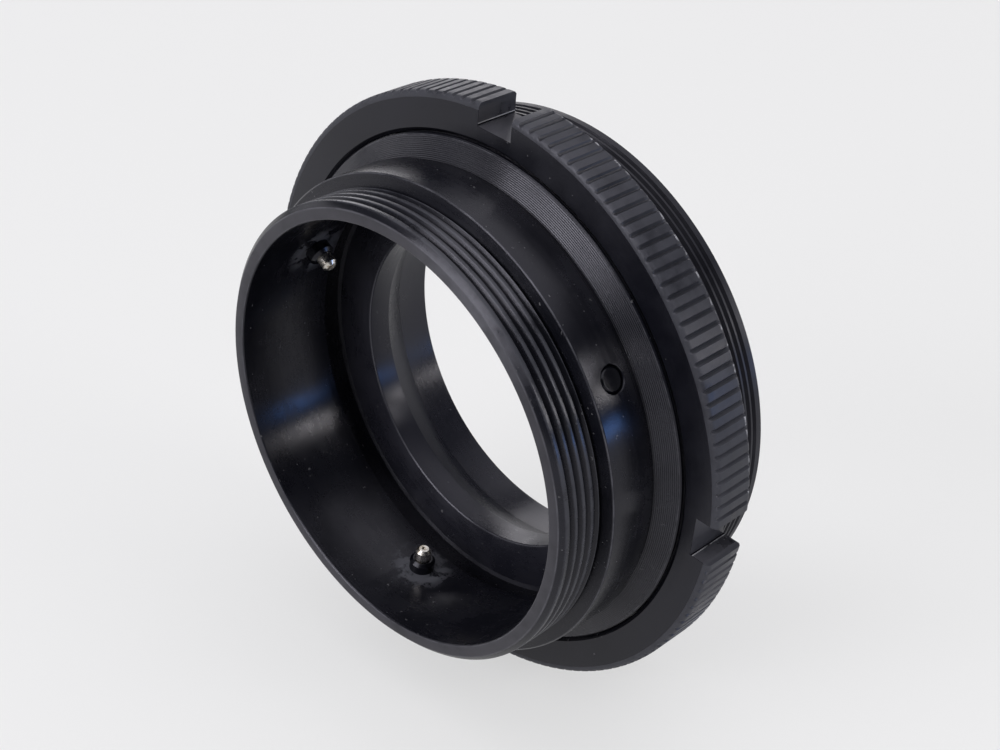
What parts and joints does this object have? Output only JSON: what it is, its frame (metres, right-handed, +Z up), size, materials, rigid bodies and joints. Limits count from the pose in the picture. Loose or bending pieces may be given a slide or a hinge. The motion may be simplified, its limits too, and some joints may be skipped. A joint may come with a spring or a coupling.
{
  "type": "barlow lens body",
  "caption": "Open Barlow lens body without glass: threaded front sleeve with sprung plungers, conical flange, notched knurled lock ring and a threaded rear barrel.",
  "frame": {"origin": "on the optical axis, half way along the length, where the rear thread starts", "axes": "+Y along the optical axis from the open front sleeve to the rear thread, +Z up, +X to the side"},
  "size_m": [0.0598, 0.0232, 0.0598],
  "materials": {
    "sleeve_anodised": "satin black anodised, turned",
    "barrel_anodised": "satin black anodised, turned with fine concentric marks",
    "tube_anodised": "satin black anodised",
    "ring_anodised": "satin black anodised, knurled rim with worn edges",
    "black_steel": "black oxide",
    "bright_steel": "polished"
  },
  "bodies": {
    "body": {"front_sleeve": "sleeve_anodised", "rear_barrel": "barrel_anodised", "inner_tube": "tube_anodised", "plunger_sleeve_a": "black_steel", "plunger_sleeve_b": "black_steel", "plunger_sleeve_c": "black_steel"},
    "lock_ring": {"lock_ring": "ring_anodised"},
    "nose_a": {"plunger_nose_a": "bright_steel"},
    "nose_b": {"plunger_nose_b": "bright_steel"},
    "nose_c": {"plunger_nose_c": "bright_steel"}
  },
  "joints": [
    {"name": "lock_ring_turn", "type": "hinge", "parent": "body", "child": "lock_ring", "pos_m": [0, 0, 0], "axis": [0, 1, 0], "continuous": true},
    {"name": "nose_a_press", "type": "slide", "parent": "body", "child": "nose_a", "axis": [0.8704, 0, 0.4924], "range_m": [0, 0.0012], "stiffness_N_per_m": 300, "springref_m": -0.002},
    {"name": "nose_b_press", "type": "slide", "parent": "body", "child": "nose_b", "axis": [-0.8572, 0, 0.515], "range_m": [0, 0.0012], "stiffness_N_per_m": 300, "springref_m": -0.002},
    {"name": "nose_c_press", "type": "slide", "parent": "body", "child": "nose_c", "axis": [-0.1822, 0, -0.9833], "range_m": [0, 0.0012], "stiffness_N_per_m": 300, "springref_m": -0.002}
  ]
}
